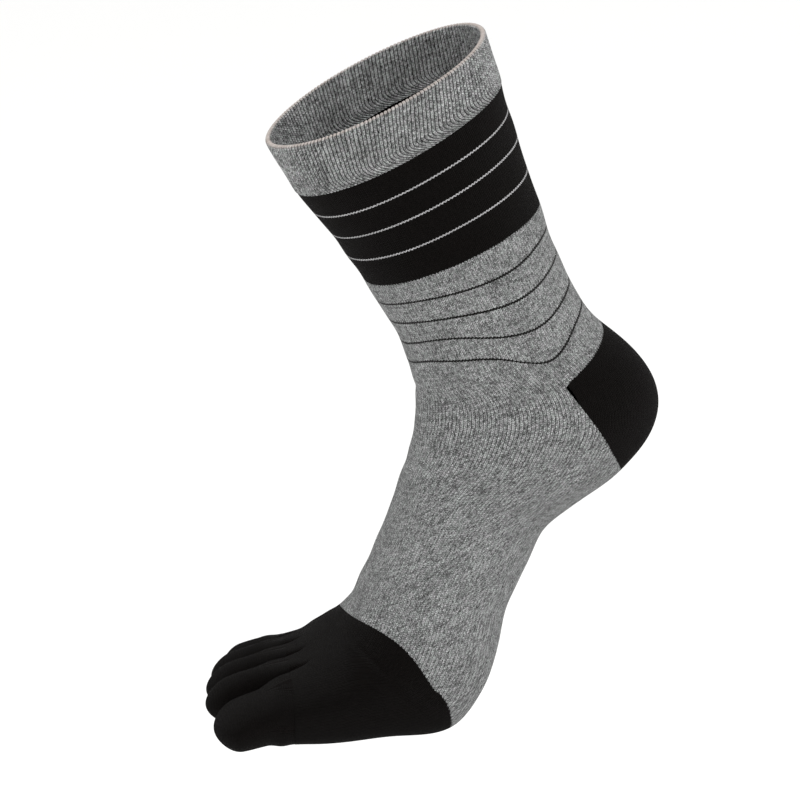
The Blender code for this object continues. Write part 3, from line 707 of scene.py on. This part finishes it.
def line_group():
    """Yarn is one within Half Width of a line, in millimetres, its edges slanting with the legs.

    The fraction of Line less a half, times the ramp's width, is the distance
    from the line; Teeth is how far the slant of a leg moves it.
    """
    group, nodes, given, result = new_group(
        "line of other yarn", {"Line": 0.0, "Wale": 0.0, "Half Width": 0.40, "Teeth": 0.20}, ["Yarn"])
    across = nodes.math("ABSOLUTE", nodes.math("SUBTRACT", nodes.math("FRACT", given["Wale"]), 0.5))
    slant = nodes.math("MULTIPLY", nodes.math("SUBTRACT", across, 0.25), 4.0)
    away = nodes.math("MULTIPLY", nodes.math("SUBTRACT", nodes.math("FRACT", given["Line"]), 0.5),
                      LINE_RAMP * 1000)
    away = nodes.math("ADD", away, nodes.math("MULTIPLY", slant, given["Teeth"]))
    near = nodes.math("LESS_THAN", nodes.math("ABSOLUTE", away), given["Half Width"])
    nodes.tree.links.new(near, result["Yarn"])
    return group


KNIT = knit_group()
MARL = marl_group()
LINE = line_group()
print("node groups:", [group.name for group in (KNIT, MARL, LINE)])

# %% [markdown]
# Three materials share one recipe. The grey one is marl with black lines, the rib
# one is the same marl with painted shade, nearly black, in the gaps between the
# ribs, and the black one is plain yarn with light lines. Gloss and sheen are set
# on the shader itself, low, because cotton scatters the light.

# %% The knitted materials
BLACK_YARN = (0.0034, 0.0027, 0.0024, 1.0)
DARK_FIBRE = (0.022, 0.021, 0.021, 1.0)
PALE_FIBRE = (0.56, 0.545, 0.56, 1.0)
COOL_FIBRE = (0.53, 0.565, 0.545, 1.0)


def mix_colours(nodes, share, first, second, blend="MIX"):
    """A colour between two others; Multiply darkens the first by the second."""
    node = nodes.add("ShaderNodeMix", {0: share, 6: first, 7: second}, data_type="RGBA", blend_type=blend)
    return node.outputs[2]


def darken(nodes, colour, share):
    """A colour with each of its three parts multiplied by a number."""
    grey = nodes.add("ShaderNodeCombineColor", (share, share, share)).outputs[0]
    return mix_colours(nodes, 1.0, colour, grey, "MULTIPLY")


def start_material(name, sheen):
    """A material with its shader, its maps, and the knit and marl groups joined to them."""
    material = bpy.data.materials.new(name)
    material.use_nodes = True
    nodes = Nodes(material.node_tree)
    shader = material.node_tree.nodes["Principled BSDF"]
    shader.inputs["Roughness"].default_value = 0.9
    shader.inputs["Specular IOR Level"].default_value = 0.03
    shader.inputs["Sheen Weight"].default_value = sheen
    shader.inputs["Sheen Roughness"].default_value = 0.45
    maps = {}
    for map_name in ("stitches", "lines"):
        source = nodes.add("ShaderNodeUVMap", uv_map=map_name)
        maps[map_name] = nodes.add("ShaderNodeSeparateXYZ", (source.outputs[0],)).outputs
    wale, course = maps["stitches"][0], maps["stitches"][1]
    stretch = nodes.add("ShaderNodeAttribute", attribute_name="stretch").outputs["Fac"]
    marl = nodes.add("ShaderNodeGroup", {"Wale": wale, "Course": course}, node_tree=MARL).outputs
    # how far the wale grooves are pulled open, which deepens their painted shade
    opened = nodes.spread(stretch, -0.05, 0.30, 0.42, 0.92)
    opened = nodes.math("MULTIPLY", opened, nodes.spread(marl["Clouds"], 0.0, 1.0, 0.7, 1.2), clamp=True)
    knit = nodes.add("ShaderNodeGroup", {"Wale": wale, "Course": course, "Open": opened}, node_tree=KNIT)
    return material, nodes, shader, maps, knit, marl


def add_bump(nodes, shader, height, distance):
    """A bump of a given distance in metres on the shader's normal."""
    bump = nodes.add("ShaderNodeBump", {"Height": height, "Distance": distance})
    nodes.tree.links.new(bump.outputs[0], shader.inputs["Normal"])


def marl_colour(nodes, knit, marl):
    """Grey marl: a leg's own tone, specks and streaks mix the fibres; painted shade darkens grooves and
    notches.
    """
    tone = nodes.math("MULTIPLY", knit.outputs["Tone"], 0.50)
    tone = nodes.math("ADD", tone, nodes.math("MULTIPLY", marl["Specks"], 0.62))
    tone = nodes.math("ADD", tone, nodes.math("MULTIPLY", marl["Streaks"], 0.16))
    tone = nodes.math("SUBTRACT", tone, 0.17, clamp=True)
    pale = mix_colours(nodes, knit.outputs["Tint"], PALE_FIBRE, COOL_FIBRE)
    colour = mix_colours(nodes, tone, DARK_FIBRE, pale)
    # painted shade of the grooves and notches, varied by wide random clouds of tone
    clouds = nodes.spread(marl["Clouds"], 0.0, 1.0, 0.90, 1.10)
    shade = nodes.math("MULTIPLY", knit.outputs["Shade"], clouds)
    return darken(nodes, colour, shade)


def grey_marl_knit():
    """Grey marl with black lines, and black teeth where a black part is near."""
    material, nodes, shader, maps, knit, marl = start_material("grey marl knit", 0.12)
    wale = maps["stitches"][0]
    colour = marl_colour(nodes, knit, marl)
    line = nodes.add("ShaderNodeGroup", {"Line": maps["lines"][0], "Wale": wale}, node_tree=LINE)
    tooth = nodes.math("ABSOLUTE", nodes.math("SUBTRACT", nodes.math("FRACT", wale), 0.5))
    tooth = nodes.math("MULTIPLY", tooth, 0.9)
    own = nodes.math("MULTIPLY", nodes.math("SUBTRACT", knit.outputs["Tone"], 0.6), 0.5)
    edge = nodes.math("LESS_THAN", maps["lines"][1], nodes.math("ADD", tooth, own))
    black = nodes.math("MAXIMUM", line.outputs["Yarn"], edge)
    nodes.tree.links.new(mix_colours(nodes, black, colour, BLACK_YARN), shader.inputs["Base Color"])
    add_bump(nodes, shader, knit.outputs["Height"], 0.00020)
    return material


def grey_rib_knit():
    """The cuff's marl: painted shade nearly black between the ribs, and pale on the ribs' tops along the
    rim.
    """
    material, nodes, shader, maps, knit, marl = start_material("grey rib knit", 0.12)
    colour = marl_colour(nodes, knit, marl)
    rim = nodes.spread(maps["lines"][1], 0.0, 0.7, 0.75, 0.0)
    colour = mix_colours(nodes, rim, colour, (0.52, 0.455, 0.42, 1.0))
    # painted shade: the grooves between the ribs are darkened to nearly black
    colour = darken(nodes, colour, nodes.spread(knit.outputs["Groove"], 0.05, 0.75, 1.0, 0.06))
    nodes.tree.links.new(colour, shader.inputs["Base Color"])
    add_bump(nodes, shader, knit.outputs["Height"], 0.00014)
    return material


def black_knit():
    """Black yarn with light lines; its stitches show as a faint difference of tone."""
    material, nodes, shader, maps, knit, marl = start_material("black knit", 0.02)
    tone = nodes.math("MULTIPLY", nodes.math("ADD", knit.outputs["Tone"], marl["Specks"]), 0.5)
    colour = mix_colours(nodes, tone, (0.0018, 0.0013, 0.0011, 1.0), (0.0052, 0.0042, 0.0038, 1.0))
    line = nodes.add("ShaderNodeGroup", {"Line": maps["lines"][0], "Wale": maps["stitches"][0],
                                         "Half Width": 0.27, "Teeth": 0.16}, node_tree=LINE)
    light = mix_colours(nodes, marl["Specks"], (0.16, 0.16, 0.16, 1.0), (0.62, 0.61, 0.62, 1.0))
    colour = mix_colours(nodes, line.outputs["Yarn"], colour, light)
    nodes.tree.links.new(colour, shader.inputs["Base Color"])
    add_bump(nodes, shader, knit.outputs["Height"], 0.00020)
    return material


GREY_KNIT = grey_marl_knit()
RIB_KNIT = grey_rib_knit()
BLACK_KNIT = black_knit()
print("materials:", [material.name for material in (GREY_KNIT, RIB_KNIT, BLACK_KNIT)])

# %% [markdown]
# The cuff is a doubled band of rib: round ribs side by side with a deep groove
# between them, folded over at the rim. Its section is carried all round, out
# side, over the rim and down the inside, and each rib is real geometry, because
# the rim shows it as a row of small teeth.

# %% The ribbed cuff
RIB_DEPTH = 0.00050
COLUMNS_A_RIB = 8
RIM_RADIUS = CUFF_WALL / 2 - RIB_DEPTH / 2
RIB_LEAN = np.radians(7.0)
SWING_FROM = 0.74


def rib_height(rib):
    """A round rib with a narrow groove: one less the cube of the distance from the rib's middle."""
    return 1 - np.abs(2 * (rib % 1.0) - 1) ** 3


def rib_sway(down, turn):
    """The angle by which a rib leans to the front as it goes down, and swings back above the hem.

    The lean grows with the share of the way down; past SWING_FROM the square
    of what is left of the way is taken off again.
    """
    swing = np.clip((down - SWING_FROM) / (1 - SWING_FROM), 0, 1) ** 2
    uneven = 1 + 0.25 * np.sin(3 * turn + 1.0)
    return RIB_LEAN * (down - 1.15 * swing) * np.sin(-turn) * uneven


def make_cuff():
    """The section's path, an outer line, a half circle and an inner line, carried round the leg."""
    hem = STATION["cuff_hem"] - 0.02 * GAP
    down = np.linspace(hem, RIM_RADIUS, 18)
    over = np.linspace(0, np.pi, 11)[1:-1]
    place = np.concatenate([down, RIM_RADIUS - RIM_RADIUS * np.sin(over), down[::-1]])
    lift = np.concatenate([0 * down, 1 - np.cos(over), 2 + 0 * down])
    side = 1 - lift
    rise = np.concatenate([0 * down, np.sin(over), 0 * down])
    columns = CUFF_RIBS * COLUMNS_A_RIB + 1
    rib = np.linspace(0, CUFF_RIBS, columns)
    turn = even_turns(STATION["cuff_hem"], -np.pi, np.pi, columns)
    sway = rib_sway(place[:, None] / hem, turn)
    place, turn = place[:, None] + 0 * sway, turn[None, :] + sway
    point, normal = tube_frame(place, turn)
    step = 2e-5
    ahead = tube_point(place - step, turn) - tube_point(place + step, turn)
    ahead /= np.linalg.norm(ahead, axis=-1, keepdims=True)
    relief = RIB_DEPTH * (rib_height(rib)[None, :] - 0.5)
    outward = side[:, None] * (RIM_RADIUS + relief) - RIM_RADIUS
    onward = rise[:, None] * relief
    points = point + normal * outward[..., None] + ahead * onward[..., None]
    wrapped = np.concatenate([points, points[:1]])
    ids = closed_ids(*wrapped.shape[:2])
    ids[-1] = ids[0]
    stitches = stitch_grid(place, turn)
    stitches[..., 0] = rib[None, :]
    lines = np.stack([0 * place, (place - RIM_RADIUS) * 1000 + 0.8], axis=-1)
    stitches = np.concatenate([stitches, stitches[:1]])
    lines = np.concatenate([lines, lines[:1]])
    faces = grid_quads(ids)
    corners = grid_quads(np.arange(ids.size).reshape(ids.shape))
    stretch = np.full(ids.size, -0.05)
    piece = put_in_mesh("cuff_knit", wrapped.reshape(-1, 3), faces, corners, stitches.reshape(-1, 2),
                        lines.reshape(-1, 2), stretch, RIB_KNIT)
    print("cuff_knit faces:", len(piece.data.polygons))
    return piece


dress(make_cuff(), "cuff")

# %% [markdown]
# The leg band is plain knit in black yarn. It has its light lines in its
# material, so its own mesh is only an even grid.

# %% The leg band


def make_band():
    """An even grid from the cuff to the ankle, with the light lines counted on it."""
    turn = even_turns(STATION["calf"], -np.pi, np.pi, 241)[None, :]
    place = np.linspace(STATION["cuff_hem"], STATION["band_hem"], 73)[:, None]
    place, turn = place + 0 * turn, turn + 0 * place
    point, normal = tube_frame(place, turn)
    lines = np.stack([count_lines(place, turn, BAND_LINES), FAR_OFF + 0 * place], axis=-1)
    return cloth_wall("leg_band_knit", point, point - normal * WALL, closed_ids(*place.shape),
                      stitch_grid(place, turn), lines, cloth_stretch(place), BLACK_KNIT)


dress(make_band(), "leg_band")

# %% [markdown]
# The grey body is ankle and foot in one, with an opening for the heel pocket.
# It is made as two grids, above and below that opening, that share their points
# along the front where there is no opening.

# %% The grey body
BODY_COLUMNS_FRONT = 150
BODY_COLUMNS_BACK = 90


def body_turns():
    """Angles from the back over the front to the back, with one on each point of the heel."""
    back = even_turns(STATION["arch"], HEEL_REACH, np.pi, BODY_COLUMNS_BACK // 2 + 1)
    front = even_turns(STATION["arch"], -HEEL_REACH, HEEL_REACH, BODY_COLUMNS_FRONT + 1)
    return np.concatenate([-back[::-1], front[1:-1], back])


def make_body():
    """Rows from the band to the heel's upper edge, then from its lower edge to the toe line."""
    turn = body_turns()
    upper, lower = heel_edges(turn)
    upper = np.minimum(upper, lower)
    end = toe_line(turn)
    ankle_rows = np.linspace(0, 1, 56)[:, None]
    foot_rows = np.linspace(0, 1, 106)[:, None]
    ankle = STATION["band_hem"] + (upper - STATION["band_hem"]) * ankle_rows
    foot = lower + (end - lower) * foot_rows
    place = np.concatenate([ankle, foot])
    turn = turn + 0 * place
    ids = closed_ids(*place.shape)
    joined = np.isclose(upper, lower)
    ids[len(ankle), joined] = ids[len(ankle) - 1, joined]
    point, normal = tube_frame(place, turn)
    reach = np.clip((np.abs(back_turn(turn)) - HEEL_REACH) / 0.05, 0, 1)
    ankle_edge = (upper - ankle) * 1000
    foot_edge = (foot - lower) * 1000
    heel_edge = np.concatenate([ankle_edge, foot_edge]) + FAR_OFF * (1 - reach)
    toe_edge = (end - place) * 1000
    band_edge = (place - STATION["band_hem"]) * 1000
    edge = np.minimum(np.minimum(heel_edge, toe_edge), band_edge)
    lines = np.stack([count_lines(place, turn, BODY_LINES), edge], axis=-1)
    return cloth_wall("body_knit", point, point - normal * WALL, ids, stitch_grid(place, turn),
                      lines, cloth_stretch(place), GREY_KNIT, skipped_rows=[len(ankle) - 1])


dress(make_body(), "body")

# %% [markdown]
# The heel pocket is a lens between the two edges that the body leaves open. It
# comes to a point at either side, where the grid's columns shrink to nothing.

# %% The heel pocket


def make_heel():
    """Columns round the back, each from the pocket's upper edge to its lower one."""
    back = even_turns(STATION["arch"], HEEL_REACH, np.pi, BODY_COLUMNS_BACK // 2 + 1)[1:]
    turn = np.concatenate([back, 2 * np.pi - back[-2::-1]])
    upper, lower = heel_edges(turn)
    place = upper + (lower - upper) * np.linspace(0, 1, 64)[:, None]
    turn = turn + 0 * place
    point, normal = tube_frame(place, turn)
    ids = np.arange(place.size).reshape(place.shape)
    lines = np.stack([0 * place, FAR_OFF + 0 * place], axis=-1)
    return cloth_wall("heel_knit", point, point - normal * WALL, ids, stitch_grid(place, turn),
                      lines, cloth_stretch(place), BLACK_KNIT)


dress(make_heel(), "heel")

# %% [markdown]
# The toe box covers the ball of the foot. At its far end its rim already has the
# round tops of the toes, with a crease between each two.

# %% The toe box
BOX_CELL_COLUMNS = [44, 26, 26, 26, 26]


def root_turns():
    """The angles of the columns at the toe roots, crowded by a sine towards each crease."""
    across = []
    for start, end, count in zip(TOE_EDGES[:-1], TOE_EDGES[1:], BOX_CELL_COLUMNS):
        even = np.linspace(-np.pi / 2, np.pi / 2, count + 1)[1:]
        across.append((start + end) / 2 + (end - start) / 2 * np.sin(even))
    share = np.clip(np.concatenate(across) / (ROOT_WIDTH / 2), -1, 1)
    top = np.arcsin(signed_power(share, RING_TABLE[-1, ROUND] / 2))
    sole = np.pi - np.arcsin(signed_power(share[::-1], RING_TABLE[-1, SOLE] / 2))
    return np.concatenate([[-np.pi / 2], top, sole[1:], [3 * np.pi / 2]])


def make_toe_box():
    """Columns that are evenly apart at the toe line and have gathered at the creases by the roots."""
    at_roots = root_turns()
    at_line = even_turns(STATION["toe_line"], at_roots[0], at_roots[-1], len(at_roots))
    share = np.linspace(0, 1, 72)[:, None]
    gathered = share * share * (3 - 2 * share)
    turn = at_line + (at_roots - at_line) * gathered
    start = toe_line(at_line)
    place = start + (STATION["toe_roots"] - start) * share
    point, normal = tube_frame(place, turn)
    lines = np.stack([0 * place, FAR_OFF + 0 * place], axis=-1)
    return cloth_wall("toe_box_knit", point, point - normal * WALL, closed_ids(*place.shape),
                      stitch_grid(place, turn), lines, cloth_stretch(place), BLACK_KNIT)


dress(make_toe_box(), "toe_box")

# %% [markdown]
# Each toe has its own closed pocket. At its root it has the outline of its part
# of the toe box, and along its length it settles into an oval with a round tip.

# %% The toes
TOE_ROWS = 60
TOE_COLUMNS = 121
TIP_CROWDING = 1.8


def root_outline(x):
    """The toe box's rim at x: its top point, the height of its middle and its sole point."""
    share = np.clip(x / (ROOT_WIDTH / 2), -1, 1)
    end = STATION["toe_roots"] + 0 * share
    top = tube_point(end, np.arcsin(signed_power(share, RING_TABLE[-1, ROUND] / 2)), lobed=False)
    sole = tube_point(end, np.pi - np.arcsin(signed_power(share, RING_TABLE[-1, SOLE] / 2)), lobed=False)
    middle = RING_TABLE[-1, 3] + RING_TABLE[-1, WIDEST] * (RING_TABLE[-1, 1] - RING_TABLE[-1, 3])
    return top, middle, sole


def root_slope(x, level):
    """The tube's own slope at the toe roots, rise over run, between the sole's and the top's."""
    share = np.clip(x / (ROOT_WIDTH / 2), -1, 1)
    end = STATION["toe_roots"] + 0 * share
    top_turn = np.arcsin(signed_power(share, RING_TABLE[-1, ROUND] / 2))
    sole_turn = np.pi - np.arcsin(signed_power(share, RING_TABLE[-1, SOLE] / 2))
    slopes = []
    for turn in (sole_turn, top_turn):
        step = tube_point(end, turn, lobed=False) - tube_point(end - 2e-4, turn, lobed=False)
        slopes.append(step[..., 2] / step[..., 1])
    return slopes[0] + (slopes[1] - slopes[0]) * np.clip(level, 0, 1)


def toe_point(index, along, turn):
    """A ring that turns from its part of the toe box's rim into an oval, closed by a round cap.

    The two outlines are mixed by three times the square of the settled share
    less twice its cube, and the cap is a quarter circle.
    """
    width, length = TOES[index][1:]
    form = BIG_TOE_FORM if index == 0 else SMALL_TOE_FORM
    x_middle = (TOE_EDGES[index] + TOE_EDGES[index + 1]) / 2
    half = width / 2
    shares = natural_spline(form[:, 0], form[:, 1:], along)
    top_share, sole_share, width_share = shares[..., 0], shares[..., 1], shares[..., 2]
    settle = np.clip(along / SETTLE_SHARE, 0, 1)
    settle = settle * settle * (3 - 2 * settle)
    power = CELL_POWER + (TOE_POWER - CELL_POWER) * settle
    deep = signed_power(np.cos(turn), 2 / power)
    wide = signed_power(np.sin(turn), 2 / power)
    side = {0: -1, len(TOES) - 1: 1}.get(index, 0)
    free = (wide * side > 0) * (1 - settle)
    cell_deep = deep * (1 - free) + np.sign(np.round(np.cos(turn), 9)) * free

    cell_x = x_middle + half * wide
    top, middle, sole = root_outline(cell_x)
    above, below = top[..., 2] - middle, middle - sole[..., 2]
    cell_z = middle + np.where(cell_deep > 0, above, below) * cell_deep
    level = (cell_z - sole[..., 2]) / np.maximum(above + below, 1e-6)
    cell_y = sole[..., 1] + (top[..., 1] - sole[..., 1]) * level
    kept = along * (1 - np.clip(along / SETTLE_SHARE, 0, 1)) ** 2 * length
    cell_z = cell_z + root_slope(cell_x, level) * kept

    centre_top, _, centre_sole = root_outline(x_middle)
    height = centre_top[2] - centre_sole[2]
    own_top = centre_top[2] - top_share * height
    own_sole = centre_sole[2] + sole_share * height
    own_y = (centre_top[1] + centre_sole[1]) / 2
    cap = np.sqrt(np.clip(1 - (np.clip(along - 1 + TIP_SHARE, 0, 1) / TIP_SHARE) ** 2, 0, 1))
    own_x = x_middle + half * width_share * wide * cap
    own_z = (own_top + own_sole) / 2 + (own_top - own_sole) / 2 * deep * cap

    x = cell_x + (own_x - cell_x) * settle
    z = cell_z + (own_z - cell_z) * settle
    y = cell_y + (own_y - cell_y) * settle + along * length
    return np.stack([x, y + 0 * x, z], axis=-1)


def spaced_turns(index, along, count):
    """Angles that lie evenly far apart on the toe's ring at a share of its length."""
    fine = np.linspace(-np.pi, np.pi, 4001)
    ring = toe_point(index, along + 0 * fine, fine)
    length = np.concatenate([[0.0], np.cumsum(np.linalg.norm(np.diff(ring, axis=0), axis=1))])
    return np.interp(np.linspace(0, length[-1], count), length, fine)


def make_toe(index):
    """Rings along the toe, crowded towards the tip, and a last ring shrunk to one point."""
    name, width, length = TOES[index]
    along = 1 - (1 - np.linspace(0, 1, TOE_ROWS)[:, None]) ** TIP_CROWDING
    settled = np.clip(along / SETTLE_SHARE, 0, 1)
    at_root = spaced_turns(index, 0.0, TOE_COLUMNS)
    at_tip = spaced_turns(index, SETTLE_SHARE, TOE_COLUMNS)
    turn = at_root + (at_tip - at_root) * settled
    along = along + 0 * turn
    step = 1e-4
    safe = np.clip(along, step, 1 - 3 * step)
    point = toe_point(index, along, turn)
    onward = toe_point(index, safe + step, turn) - toe_point(index, safe - step, turn)
    around = toe_point(index, safe, turn + step) - toe_point(index, safe, turn - step)
    normal = np.cross(around, onward)
    normal /= np.linalg.norm(normal, axis=-1, keepdims=True)
    normal[-1] = (0.0, 1.0, 0.0)
    ids = closed_ids(*along.shape)
    ids[-1] = ids[-1, 0]
    wales = np.round(2 * (width + 0.8 * TOE_ROOT_HEIGHT) / (ankle_round / WALES))
    stitches = np.stack([(turn / (2 * np.pi) + 0.5) * wales, along * length / COURSE_PITCH], axis=-1)
    lines = np.stack([0 * along, FAR_OFF + 0 * along], axis=-1)
    return cloth_wall(name + "_knit", point, point - normal * WALL, ids, stitches, lines,
                      0 * along, BLACK_KNIT)


for index, (name, width, length) in enumerate(TOES):
    dress(make_toe(index), name)

# %% [markdown]
# A pale floor lies well below the sock, which is shown as if it were worn. Wide
# lights from the left, the right and above give soft shading, and a white sky
# fills the rest.

# %% Floor and light


def pale_floor():
    """A large level square."""
    mesh = bpy.data.meshes.new("floor")
    corners = 6.0 * np.array([(-1, -1, 0), (1, -1, 0), (1, 1, 0), (-1, 1, 0)]) + (0, 0, -0.45)
    mesh.from_pydata(corners.tolist(), [], [(0, 1, 2, 3)])
    material = bpy.data.materials.new("pale floor")
    material.use_nodes = True
    shader = material.node_tree.nodes["Principled BSDF"]
    shader.inputs["Base Color"].default_value = (0.97, 0.97, 0.965, 1.0)
    shader.inputs["Roughness"].default_value = 0.9
    mesh.materials.append(material)
    floor = bpy.data.objects.new("floor", mesh)
    bpy.context.scene.collection.objects.link(floor)
    floor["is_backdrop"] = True


def soft_light(name, place, size, power):
    """A square area light at a place, aimed at the sock's middle."""
    data = bpy.data.lights.new(name, "AREA")
    data.size = size
    data.energy = power
    lamp = bpy.data.objects.new(name, data)
    bpy.context.scene.collection.objects.link(lamp)
    back = np.array(place) - np.array([0.0, 0.04, 0.0])
    back = back / np.linalg.norm(back)
    right = np.cross([0.0, 0.0, 1.0], back)
    right /= np.linalg.norm(right)
    matrix = np.eye(4)
    matrix[:3, 0] = right
    matrix[:3, 1] = np.cross(back, right)
    matrix[:3, 2] = back
    matrix[:3, 3] = place
    lamp.matrix_world = matrix.T.tolist()


pale_floor()
soft_light("key light", (-1.2, -0.9, 1.5), 1.2, 18.0)
soft_light("fill light", (-1.0, 1.4, 0.6), 1.4, 6.0)
world = bpy.data.worlds.new("white room")
world.use_nodes = True
sky = world.node_tree.nodes["Background"]
sky.inputs["Color"].default_value = (1.0, 1.0, 0.995, 1.0)
sky.inputs["Strength"].default_value = 1.0
bpy.context.scene.world = world
bpy.context.scene.view_settings.view_transform = "Standard"
bpy.context.scene.view_settings.look = "None"

# %% [markdown]
# Last, the size of the dressed sock is compared with the solid model's.

# %% Compare the sizes and finish
looks_box = [[float(value) for value in corner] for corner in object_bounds()]
growth = np.abs(np.array(looks_box) - np.array(cad_box)).max()
print("largest difference from the solids:", round(float(growth) * 1000, 2), "mm")
